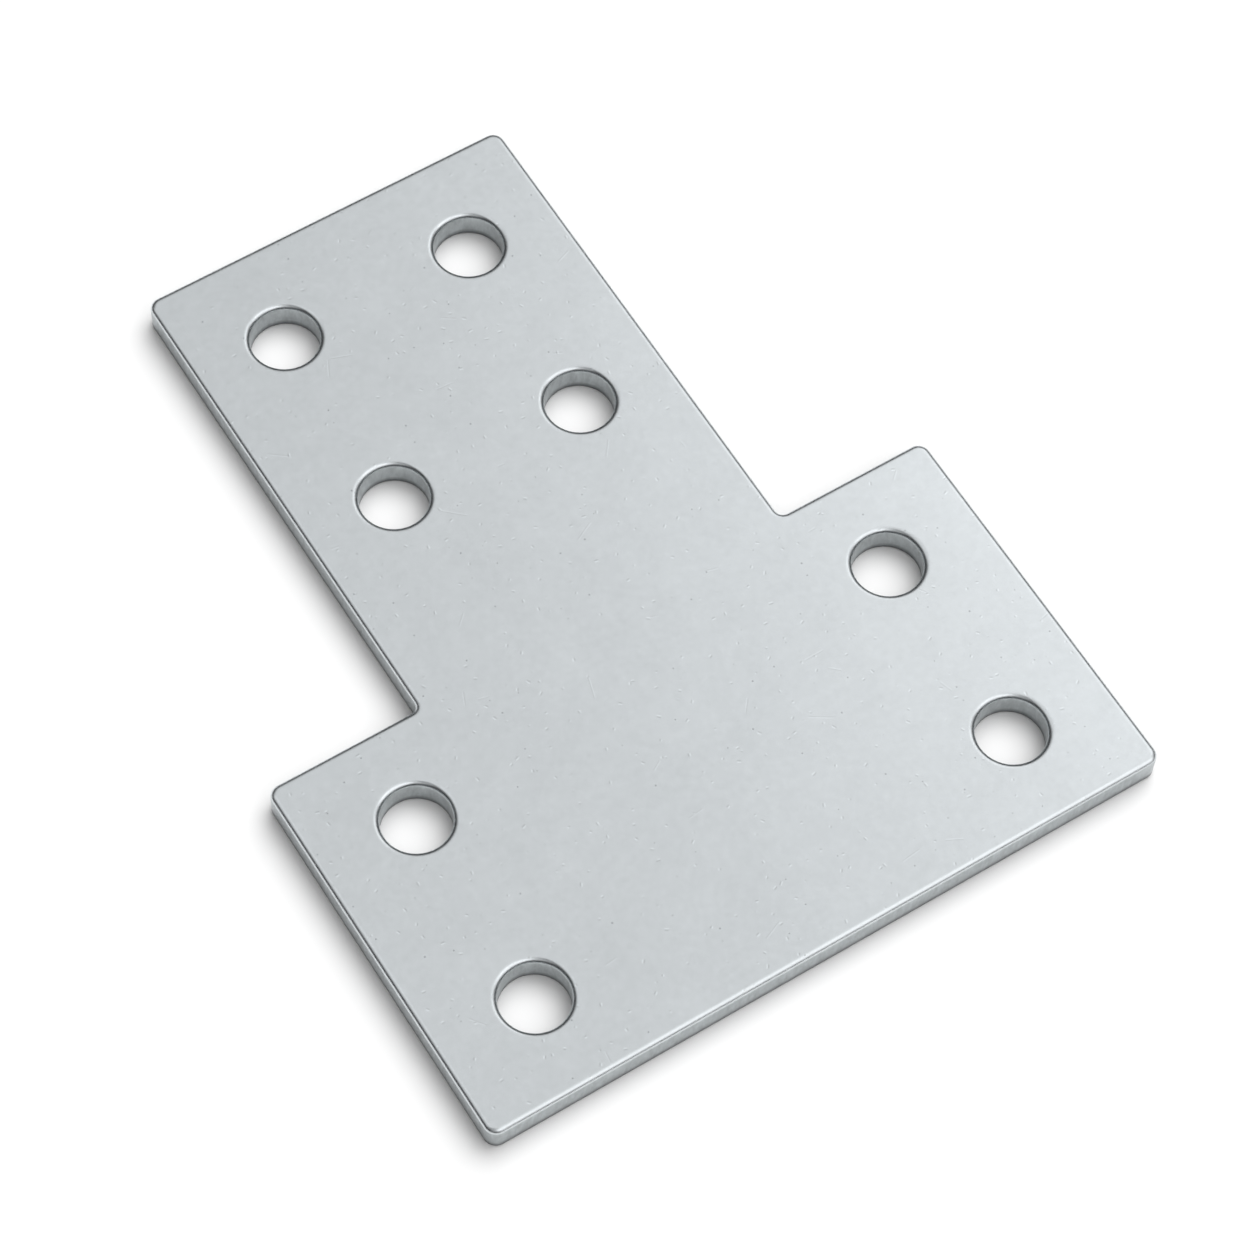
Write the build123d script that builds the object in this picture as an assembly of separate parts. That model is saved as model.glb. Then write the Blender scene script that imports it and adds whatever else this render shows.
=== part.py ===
from build123d import *
from math import isclose
import os

# T-shaped joining plate for slotted aluminium profile, punched in one piece from flat steel sheet.
#
# Lengths are in millimetres. The origin lies on the contact face, where the centreline of the
# head crosses the centreline of the stem. +X runs along the head, +Y runs up the stem, and +Z
# points from the contact face to the outer face.

# Outline: the head is the crossbar of the T, and the stem leaves it at the middle of one side.
head_length = 70.0
head_depth = 38.5
stem_width = 38.5
stem_reach = 50.0  # from the head's side to the stem's end
thickness = 3.0

# Screw holes. Each profile has two slots side by side, and its plate's holes follow them: the
# head's two rows lie over the slots of one profile, the stem's two columns over those of another.
hole_diameter = 6.6
slot_pitch = 20.0
head_column_spacing = 50.0
stem_row_spacing = 20.0
stem_end_margin = 10.0  # from the stem's end to the centres of its last row

# Rounding of the outline's corners, and of the two inner corners where the stem meets the head.
outer_corner_radius = 1.2
inner_corner_radius = 0.8

# Edges. The outer face, where the punch went in, is tumbled round at its outline and its holes.
# The contact face, where the burrs stood, has a small chamfer at each of them instead.
edge_radius = 0.45
edge_chamfer = 0.2

# Places along Y that follow from the sizes above.
head_side = head_depth / 2
stem_end = head_side + stem_reach
stem_pattern_centre = stem_end - stem_end_margin - stem_row_spacing / 2


def corner_pair(sketch, x, y):
    """The two corners of a sketch that lie at y, one on each side of the Y axis."""
    return sketch.vertices().filter_by(lambda v: isclose(abs(v.X), x) and isclose(v.Y, y))


def t_outline():
    """The outline of the plate: head and stem as one T, with every corner rounded."""
    with BuildSketch() as outline:
        Rectangle(head_length, head_depth)
        with Locations((0, head_side)):
            Rectangle(stem_width, stem_reach, align=(Align.CENTER, Align.MIN))
        fillet(corner_pair(outline, stem_width / 2, head_side), inner_corner_radius)
        fillet(corner_pair(outline, stem_width / 2, stem_end), outer_corner_radius)
        fillet(corner_pair(outline, head_length / 2, head_side), outer_corner_radius)
        fillet(corner_pair(outline, head_length / 2, -head_side), outer_corner_radius)
    return outline.sketch


def screw_holes():
    """The eight round holes: two by two in the head and two by two in the stem."""
    with BuildSketch() as holes:
        with GridLocations(head_column_spacing, slot_pitch, 2, 2):
            Circle(hole_diameter / 2)
        with Locations((0, stem_pattern_centre)):
            with GridLocations(slot_pitch, stem_row_spacing, 2, 2):
                Circle(hole_diameter / 2)
    return holes.sketch


def plate():
    """The sheet punched to its outline and holes, deburred underneath, then tumbled."""
    punched = extrude(t_outline() - screw_holes(), thickness)
    deburred = chamfer(punched.faces().sort_by(Axis.Z).first.edges(), edge_chamfer)
    return fillet(deburred.faces().sort_by(Axis.Z).last.edges(), edge_radius)


os.makedirs("parts", exist_ok=True)
export_step(plate(), "parts/joining_plate.step")
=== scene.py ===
"""Studio scene of a T-shaped joining plate for slotted aluminium profile.

The plate is one piece of steel sheet, punched, tumbled and bright zinc plated. It lies on its
contact face on a white studio floor. A large soft lamp stands to its right and a weak one to its
left. They light the floor alone: a dim room with a few soft diffusers is all that the polished
metal mirrors. Every length is in metres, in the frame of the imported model, and every angle in
degrees. Azimuths turn from +X towards +Y, except the camera's own.
"""

import logging
import math
from dataclasses import dataclass, field
from enum import Enum

import bpy
from mathutils import Matrix, Vector


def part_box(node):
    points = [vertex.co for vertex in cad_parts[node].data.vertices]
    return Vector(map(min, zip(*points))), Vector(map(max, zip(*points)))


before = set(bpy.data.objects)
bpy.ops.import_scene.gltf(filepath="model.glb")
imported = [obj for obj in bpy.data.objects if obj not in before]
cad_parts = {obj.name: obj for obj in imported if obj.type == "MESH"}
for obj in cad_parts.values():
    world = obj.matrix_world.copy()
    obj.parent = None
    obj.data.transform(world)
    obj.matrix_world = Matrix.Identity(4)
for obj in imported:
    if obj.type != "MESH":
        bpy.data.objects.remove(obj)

logging.basicConfig(level=logging.INFO, format="%(levelname)s %(message)s")
log = logging.getLogger("joining_plate")

PLATE_NODE = "joining_plate"
MILLIMETRE = 0.001
FULL_TURN = 2.0 * math.pi
NOISE_MEAN = 0.5

Colour = tuple[float, float, float]
Range = tuple[float, float]
Socket = bpy.types.NodeSocket


def direction_of(azimuth: float, elevation: float) -> tuple[float, float, float]:
    """Turns an azimuth and an elevation into a unit vector.

    Args:
        azimuth: Angle from +X towards +Y.
        elevation: Angle above the floor.

    Returns:
        The unit vector that points there from the plate.
    """
    turn, rise = math.radians(azimuth), math.radians(elevation)
    return (math.cos(turn) * math.cos(rise), math.sin(turn) * math.cos(rise), math.sin(rise))


class Curve(Enum):
    """How a mapped value runs from one end of its range to the other."""

    STRAIGHT = "LINEAR"
    EASED = "SMOOTHSTEP"


class NodeGraph:
    """A thin helper that adds nodes to a shader tree and wires them in one call each."""

    def __init__(self, tree: bpy.types.NodeTree) -> None:
        """Empties the tree and keeps it."""
        self.tree = tree
        self.tree.nodes.clear()

    def add(self, kind: str, inputs: dict[str | int, object] | None = None,
            **settings: object) -> bpy.types.Node:
        """Adds one node.

        Args:
            kind: The node's type name, such as "ShaderNodeTexNoise".
            inputs: Socket name or index to a plain value, or to the output socket that feeds it.
            **settings: Attributes of the node itself, such as operation="ADD".

        Returns:
            The new node.
        """
        node = self.tree.nodes.new(kind)
        for name, value in settings.items():
            setattr(node, name, value)
        for key, value in (inputs or {}).items():
            if isinstance(value, Socket):
                self.tree.links.new(value, node.inputs[key])
            else:
                node.inputs[key].default_value = value
        return node

    def math(self, operation: str, first: object, second: object = 0.0) -> Socket:
        """Adds a Math node.

        Args:
            operation: The node's operation, such as "MULTIPLY".
            first: First value or output socket.
            second: Second value or output socket.

        Returns:
            The node's output socket.
        """
        return self.add("ShaderNodeMath", {0: first, 1: second}, operation=operation).outputs[0]

    def vector_math(self, operation: str, first: object, second: object) -> bpy.types.Node:
        """Adds a Vector Math node of two vectors."""
        return self.add("ShaderNodeVectorMath", {0: first, 1: second}, operation=operation)

    def split(self, vector: Socket) -> bpy.types.Node:
        """Adds a node whose outputs X, Y and Z are the parts of a vector or a colour."""
        return self.add("ShaderNodeSeparateXYZ", {0: vector})

    def remap(self, value: object, source: Range, target: Range = (0.0, 1.0),
              curve: Curve = Curve.STRAIGHT) -> Socket:
        """Maps one range to another, clamped at both ends.

        Args:
            value: The value or output socket to map.
            source: Start and end of the range that the value runs through.
            target: What the result is at that start and at that end.
            curve: How the result runs between them.

        Returns:
            The socket with the result.
        """
        return self.add("ShaderNodeMapRange", {
            "Value": value, "From Min": source[0], "From Max": source[1],
            "To Min": target[0], "To Max": target[1],
        }, interpolation_type=curve.value).outputs["Result"]

    def cells(self, place: Socket, spacing: float) -> bpy.types.Node:
        """Adds flat random cells, each with its own centre, distance from it and colour."""
        return self.add("ShaderNodeTexVoronoi", {"Vector": place, "Scale": 1.0 / spacing},
                        voronoi_dimensions="2D")

    def mix_colour(self, share: object, low: object, high: object) -> Socket:
        """Blends two colours and returns the result's socket."""
        return self.add("ShaderNodeMix", {0: share, 6: low, 7: high}, data_type="RGBA").outputs[2]

    def mix_value(self, share: object, low: object, high: object) -> Socket:
        """Blends two values and returns the result's socket."""
        return self.add("ShaderNodeMix", {0: share, 2: low, 3: high}).outputs[0]


@dataclass(frozen=True)
class Mottle:
    """Soft random unevenness, with spots about as wide as its size and finer ones within them."""

    size: float
    depth: float
    detail: float
    roughness: float

    def wave(self, graph: NodeGraph, place: Socket) -> Socket:
        """Paints the unevenness.

        Args:
            graph: The material's shader tree.
            place: Socket with the position on the plate.

        Returns:
            The socket with a signed wave round zero.
        """
        noise = graph.add("ShaderNodeTexNoise", {
            "Vector": place, "Scale": 1.0 / self.size, "Detail": self.detail,
            "Roughness": self.roughness,
        }).outputs[0]
        return graph.math("MULTIPLY", graph.math("SUBTRACT", noise, NOISE_MEAN), self.depth)


@dataclass(frozen=True)
class Pits:
    """Tiny pits strewn at random over the faces.

    The spacing is about how far they lie apart, and the radius is that of the largest. Some
    places are left bare. The soft rim is a share of the radius.
    """

    spacing: float
    radius: float
    bare_share: float
    soft_rim: float

    def mask(self, graph: NodeGraph, place: Socket) -> Socket:
        """Paints the pits.

        Args:
            graph: The material's shader tree.
            place: Socket with the position on the plate.

        Returns:
            The socket that is 1 inside the pits and 0 elsewhere.
        """
        largest = self.radius / self.spacing
        cells = graph.cells(place, self.spacing)
        chance = graph.split(cells.outputs["Color"]).outputs["X"]
        size = graph.remap(chance, (self.bare_share, 1.0), (0.0, largest))
        inside = graph.math("SUBTRACT", size, cells.outputs["Distance"])
        return graph.remap(inside, (0.0, self.soft_rim * largest))


@dataclass(frozen=True)
class Strokes:
    """Short marks strewn over the faces at random angles, each a painted highlight line beside a
    painted shade line.

    The spacing is about how far the marks lie apart, the width is that of each of a mark's two
    lines, and the reach is the longest that half a mark can be. Some places are left bare.
    """

    spacing: float
    width: float
    reach: float
    depth: float
    bare_share: float = 0.4

    def wave(self, graph: NodeGraph, place: Socket) -> Socket:
        """Paints the marks.

        Args:
            graph: The material's shader tree.
            place: Socket with the position on the plate.

        Returns:
            The socket with a signed wave, above zero on the painted highlight lines and below on
            the painted shade lines.
        """
        half = 0.5 * self.width
        cells = graph.cells(place, self.spacing)
        chance = graph.split(cells.outputs["Color"])
        away = graph.vector_math("SUBTRACT", place, cells.outputs["Position"]).outputs[0]
        angle = graph.math("MULTIPLY", chance.outputs["X"], FULL_TURN)
        turned = graph.add("ShaderNodeVectorRotate", {"Vector": away, "Angle": angle},
                           rotation_type="Z_AXIS").outputs[0]
        mark = graph.split(turned)
        along, across = mark.outputs["X"], mark.outputs["Y"]
        side = graph.remap(across, (-half, half), (-1.0, 1.0))
        near = graph.remap(graph.math("ABSOLUTE", across), (half, half + self.width), (1.0, 0.0))
        length = graph.math("MULTIPLY", chance.outputs["Y"], self.reach)
        within = graph.math("SUBTRACT", length, graph.math("ABSOLUTE", along))
        ends = graph.remap(within, (0.0, self.width))
        # each mark's painted highlight line on one side and painted shade line on the other
        drawn = graph.math("MULTIPLY", graph.math("MULTIPLY", side, near), ends)
        taken = graph.math("GREATER_THAN", chance.outputs["Z"], self.bare_share)
        return graph.math("MULTIPLY", graph.math("MULTIPLY", drawn, taken), self.depth)


@dataclass(frozen=True)
class ZincPlate:
    """Bright zinc plating on tumbled steel sheet: satin, cool grey, faintly cloudy.

    The rolled faces are smooth, with nicks, pits and hairline scratches. The punched walls are
    duller and rougher, with a grain drawn out along the punch's stroke, and painted dark at their
    foot: painted contact shade, which also covers the lower chamfer. The upper rounding shines like
    the face and the lower chamfer doesn't, so each edge has its own range of the normal's upright
    part over which wall turns into face. The face rolls off softly over a short way beside its
    edges.
    """

    colour: Colour = (0.715, 0.752, 0.773)
    wall_colour: Colour = (0.46, 0.49, 0.5)
    # painted contact shade: the dark colour of the walls and the lower chamfer at their foot
    foot_shade_colour: Colour = (0.12, 0.128, 0.132)
    # painted shade: the darker colour inside the pits
    pit_shade_colour: Colour = (0.3, 0.32, 0.33)

    roughness: Range = (0.18, 0.23)
    wall_roughness: float = 0.38
    upper_edge: Range = (0.1, 0.5)
    lower_edge: Range = (-0.99, -0.9)
    # the heights over which the painted contact shade at the foot fades into the wall colour
    foot_shade_height: Range = (0.15 * MILLIMETRE, 0.9 * MILLIMETRE)

    clouds: Mottle = Mottle(size=6.0 * MILLIMETRE, depth=0.15, detail=3.0, roughness=0.9)
    flakes: Mottle = Mottle(size=0.8 * MILLIMETRE, depth=0.16, detail=4.0, roughness=0.9)
    peel: Mottle = Mottle(size=0.9 * MILLIMETRE, depth=0.35, detail=3.0, roughness=0.5)
    grain: Mottle = Mottle(size=0.6 * MILLIMETRE, depth=0.9, detail=5.0, roughness=0.7)
    grain_stretch: float = 0.35  # under 1, so that the grain is drawn out upwards
    cloud_limit: float = 0.5  # the wave at which the faces are at their roughest

    nicks: Strokes = Strokes(spacing=1.5 * MILLIMETRE, width=0.12 * MILLIMETRE,
                             reach=0.26 * MILLIMETRE, depth=0.17)
    scratches: Strokes = Strokes(spacing=7.0 * MILLIMETRE, width=0.09 * MILLIMETRE,
                                 reach=1.3 * MILLIMETRE, depth=0.085)
    pits: Pits = Pits(spacing=2.6 * MILLIMETRE, radius=0.13 * MILLIMETRE, bare_share=0.45,
                      soft_rim=0.4)
    pit_shade_share: float = 0.45

    roll_off: float = 0.38 * MILLIMETRE
    roll_off_samples: int = 6
    relief_depth: float = 0.004 * MILLIMETRE
    relief_strength: float = 0.5

    def material(self) -> bpy.types.Material:
        """Builds the material.

        Returns:
            The finished material.
        """
        material = bpy.data.materials.new("zinc_plated_steel")
        material.use_nodes = True
        graph = NodeGraph(material.node_tree)
        place = graph.add("ShaderNodeTexCoord").outputs["Object"]
        face = self._face_mask(graph)
        clouds = graph.math("ADD", self.clouds.wave(graph, place), self.flakes.wave(graph, place))
        pits = self.pits.mask(graph, place)
        satin = graph.remap(clouds, (-self.cloud_limit, self.cloud_limit), self.roughness)
        shader = graph.add("ShaderNodeBsdfPrincipled", {
            "Base Color": graph.mix_colour(face, self._wall_colour_and_foot_shade(graph, place),
                                           self._face_shade(graph, place, clouds, pits)),
            "Metallic": 1.0,
            "Roughness": graph.mix_value(face, self.wall_roughness, satin),
            "Normal": self._relief(graph, place, pits),
        })
        graph.add("ShaderNodeOutputMaterial", {"Surface": shader.outputs[0]})
        return material

    def _face_mask(self, graph: NodeGraph) -> Socket:
        """Tells the faces from the walls.

        Args:
            graph: The material's shader tree.

        Returns:
            The socket that is 1 on both faces and on the upper rounding, and 0 on the walls and
            the lower chamfer.
        """
        normal = graph.add("ShaderNodeNewGeometry").outputs["True Normal"]
        upright = graph.split(normal).outputs["Z"]
        upper = graph.remap(upright, self.upper_edge, (0.0, 1.0))
        lower = graph.remap(upright, self.lower_edge, (1.0, 0.0))
        return graph.math("MAXIMUM", upper, lower)

    def _face_shade(self, graph: NodeGraph, place: Socket, clouds: Socket, pits: Socket) -> Socket:
        """Paints the colour of the faces, with painted shade in the pits and the marks' painted
        highlight and shade lines.

        Args:
            graph: The material's shader tree.
            place: Socket with the position on the plate.
            clouds: Socket with the plating's cloudiness.
            pits: Socket that is 1 inside the pits.

        Returns:
            The socket with the colour.
        """
        nicks, scratches = self.nicks.wave(graph, place), self.scratches.wave(graph, place)
        # the marks' painted highlight and shade lines lighten and darken the face colour
        strokes = graph.math("ADD", nicks, scratches)
        bright = self._shade(graph, self.colour, graph.math("ADD", clouds, strokes))
        # painted shade darkens the face colour inside the pits
        share = graph.math("MULTIPLY", pits, self.pit_shade_share)
        return graph.mix_colour(share, bright, (*self.pit_shade_colour, 1.0))

    def _wall_colour_and_foot_shade(self, graph: NodeGraph, place: Socket) -> Socket:
        """Paints the colour of the punched walls, with painted contact shade darkening their foot.

        Args:
            graph: The material's shader tree.
            place: Socket with the position on the plate.

        Returns:
            The socket with the colour.
        """
        drawn = graph.vector_math("MULTIPLY", place, (1.0, 1.0, self.grain_stretch)).outputs[0]
        dull = self._shade(graph, self.wall_colour, self.grain.wave(graph, drawn))
        # painted contact shade: the walls and the lower chamfer turn dark near the floor
        above_foot_shade = graph.remap(graph.split(place).outputs["Z"], self.foot_shade_height)
        return graph.mix_colour(above_foot_shade, (*self.foot_shade_colour, 1.0), dull)

    def _shade(self, graph: NodeGraph, colour: Colour, wave: Socket) -> Socket:
        """Lightens and darkens a colour along with a signed wave."""
        return graph.add("ShaderNodeVectorMath", {
            0: colour, "Scale": graph.math("ADD", wave, 1.0)}, operation="SCALE").outputs[0]

    def _relief(self, graph: NodeGraph, place: Socket, pits: Socket) -> Socket:
        """Rolls the face off softly towards its edges and roughens it a little.

        Args:
            graph: The material's shader tree.
            place: Socket with the position on the plate.
            pits: Socket that is 1 inside the pits.

        Returns:
            The socket with the shading normal.
        """
        rolled = graph.add("ShaderNodeBevel", {"Radius": self.roll_off},
                           samples=self.roll_off_samples).outputs[0]
        height = graph.math("SUBTRACT", self.peel.wave(graph, place), pits)
        return graph.add("ShaderNodeBump", {
            "Strength": self.relief_strength, "Distance": self.relief_depth, "Height": height,
            "Normal": rolled}).outputs[0]


@dataclass(frozen=True)
class StudioPaper:
    """Matt white paper under the plate."""

    albedo: float = 0.94

    def material(self) -> bpy.types.Material:
        """Builds the material.

        Returns:
            The finished material.
        """
        material = bpy.data.materials.new("studio_paper")
        material.use_nodes = True
        graph = NodeGraph(material.node_tree)
        white = (self.albedo, self.albedo, self.albedo, 1.0)
        paper = graph.add("ShaderNodeBsdfDiffuse", {"Color": white})
        graph.add("ShaderNodeOutputMaterial", {"Surface": paper.outputs[0]})
        return material


@dataclass
class StudioFloor:
    """The flat floor that the plate lies on."""

    side: float = 6.0
    paper: StudioPaper = field(default_factory=StudioPaper)

    def build(self) -> bpy.types.Object:
        """Builds the floor at the height of the plate's contact face.

        Returns:
            The floor's object.
        """
        half = self.side / 2
        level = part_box(PLATE_NODE)[0].z
        corners = [(x * half, y * half, level) for x, y in ((-1, -1), (1, -1), (1, 1), (-1, 1))]
        mesh = bpy.data.meshes.new("studio_floor")
        mesh.from_pydata(corners, [], [(0, 1, 2, 3)])
        mesh.materials.append(self.paper.material())
        floor = bpy.data.objects.new("studio_floor", mesh)
        bpy.context.collection.objects.link(floor)
        return floor


@dataclass(frozen=True)
class Diffuser:
    """One round patch of light in the room, bright to its inner radius and gone at its outer."""

    azimuth: float
    elevation: float
    inner: float
    outer: float
    radiance: float

    def glow(self, graph: NodeGraph, direction: Socket) -> Socket:
        """Paints the patch into the room's shader.

        Args:
            graph: The room's shader tree.
            direction: Socket with the direction that is looked in.

        Returns:
            The socket with the patch's radiance.
        """
        towards = direction_of(self.azimuth, self.elevation)
        nearness = graph.vector_math("DOT_PRODUCT", direction, towards).outputs["Value"]
        rim, middle = math.cos(math.radians(self.outer)), math.cos(math.radians(self.inner))
        return graph.remap(nearness, (rim, middle), (0.0, self.radiance), Curve.EASED)


@dataclass
class Room:
    """The dim room round the plate and the patches of light that stand in it."""

    horizon: float = 0.03
    zenith: float = 0.13
    diffusers: tuple[Diffuser, ...] = (
        # The bright line along the near edges, and its way into the face.
        Diffuser(azimuth=298.0, elevation=52.0, inner=16.0, outer=39.0, radiance=1.08),
        Diffuser(azimuth=345.0, elevation=73.0, inner=5.0, outer=22.0, radiance=0.28),
        # The rounding of the near right corners.
        Diffuser(azimuth=352.0, elevation=48.0, inner=8.0, outer=26.0, radiance=0.42),
        # What the face mirrors, and what its right side and the right-hand edges do.
        Diffuser(azimuth=50.0, elevation=65.0, inner=14.0, outer=26.0, radiance=0.64),
        Diffuser(azimuth=33.0, elevation=47.5, inner=4.5, outer=19.0, radiance=0.76),
        # The rounding of the near left corners.
        Diffuser(azimuth=236.0, elevation=56.0, inner=10.0, outer=32.0, radiance=0.36),
        # The bright line along the left-hand edges.
        Diffuser(azimuth=128.0, elevation=62.0, inner=10.0, outer=24.0, radiance=0.6),
    )

    def build(self) -> bpy.types.World:
        """Builds the room's world.

        Returns:
            The finished world.
        """
        world = bpy.data.worlds.new("room")
        world.use_nodes = True
        graph = NodeGraph(world.node_tree)
        direction = graph.add("ShaderNodeTexCoord").outputs["Generated"]
        height = graph.split(direction).outputs["Z"]
        glow = graph.remap(height, (0.0, 1.0), (self.horizon, self.zenith))
        for diffuser in self.diffusers:
            glow = graph.math("ADD", glow, diffuser.glow(graph, direction))
        light = graph.add("ShaderNodeBackground", {"Color": (1.0, 1.0, 1.0, 1.0), "Strength": glow})
        graph.add("ShaderNodeOutputWorld", {"Surface": light.outputs[0]})
        return world


@dataclass(frozen=True)
class StudioLamp:
    """A large soft lamp far away, which lights the paper and isn't mirrored by the metal."""

    name: str
    azimuth: float
    elevation: float
    width: float
    strength: float

    def build(self) -> bpy.types.Object:
        """Hangs the lamp.

        Returns:
            The lamp's object.
        """
        data = bpy.data.lights.new(self.name, "SUN")
        data.energy, data.angle = self.strength, math.radians(self.width)
        lamp = bpy.data.objects.new(self.name, data)
        lamp.rotation_euler = (0.0, math.radians(90.0 - self.elevation), math.radians(self.azimuth))
        lamp.visible_glossy = False
        bpy.context.collection.objects.link(lamp)
        return lamp


@dataclass
class Lighting:
    """The key lamp on the right, which casts the plate's shadow, and a weak lamp that fills it."""

    lamps: tuple[StudioLamp, ...] = (
        StudioLamp("key_light", azimuth=27.0, elevation=53.0, width=58.0, strength=2.03),
        StudioLamp("fill_light", azimuth=205.0, elevation=48.0, width=50.0, strength=0.27),
    )

    def build(self) -> list[bpy.types.Object]:
        """Hangs the lamps and returns their objects."""
        return [lamp.build() for lamp in self.lamps]


@dataclass
class Viewpoint:
    """Where the camera stands: above the head's left corner, looking down along the stem.

    Its azimuth turns from -Y towards +X, its roll leans it to one side, and the lens and the
    sensor's width are in the camera's own millimetres.
    """

    azimuth: float = -35.280
    elevation: float = 61.466
    roll: float = -3.693
    distance: float = 0.4004
    aim: tuple[float, float, float] = (0.00200, 0.01798, 0.0)
    lens: float = 126.18
    sensor: float = 36.0

    def build(self) -> bpy.types.Object:
        """Sets up the camera.

        Returns:
            The camera's object, which is also made the scene's camera.
        """
        back = Vector(direction_of(self.azimuth - 90.0, self.elevation))
        right = Vector((0.0, 0.0, 1.0)).cross(back).normalized()
        up = back.cross(right)
        lean = Matrix.Rotation(math.radians(-self.roll), 3, "Z")
        axes = Matrix((right, up, back)).transposed() @ lean
        data = bpy.data.cameras.new("camera")
        data.lens, data.sensor_width = self.lens, self.sensor
        camera = bpy.data.objects.new("camera", data)
        place = Matrix.Translation(Vector(self.aim) + back * self.distance)
        camera.matrix_world = place @ axes.to_4x4()
        bpy.context.collection.objects.link(camera)
        bpy.context.scene.camera = camera
        return camera


@dataclass
class JoiningPlate:
    """The plate itself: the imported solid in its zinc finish."""

    finish: ZincPlate = field(default_factory=ZincPlate)

    def dress(self) -> bpy.types.Object:
        """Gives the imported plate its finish.

        Returns:
            The plate's object.
        """
        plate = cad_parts[PLATE_NODE]
        material = self.finish.material()
        for slot in plate.material_slots:
            slot.material = material
        return plate


def main() -> None:
    """Builds the plate, the floor, the light and the camera, and logs each one's name."""
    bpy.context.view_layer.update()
    plate = JoiningPlate().dress()
    log.info("dressed %s", plate.name)
    floor = StudioFloor().build()
    log.info("built %s", floor.name)
    bpy.context.scene.world = Room().build()
    log.info("lit %s", bpy.context.scene.world.name)
    for lamp in Lighting().build():
        log.info("hung %s", lamp.name)
    camera = Viewpoint().build()
    log.info("set up %s", camera.name)
    bpy.context.scene.view_settings.view_transform = "Standard"


if __name__ == "__main__":
    main()
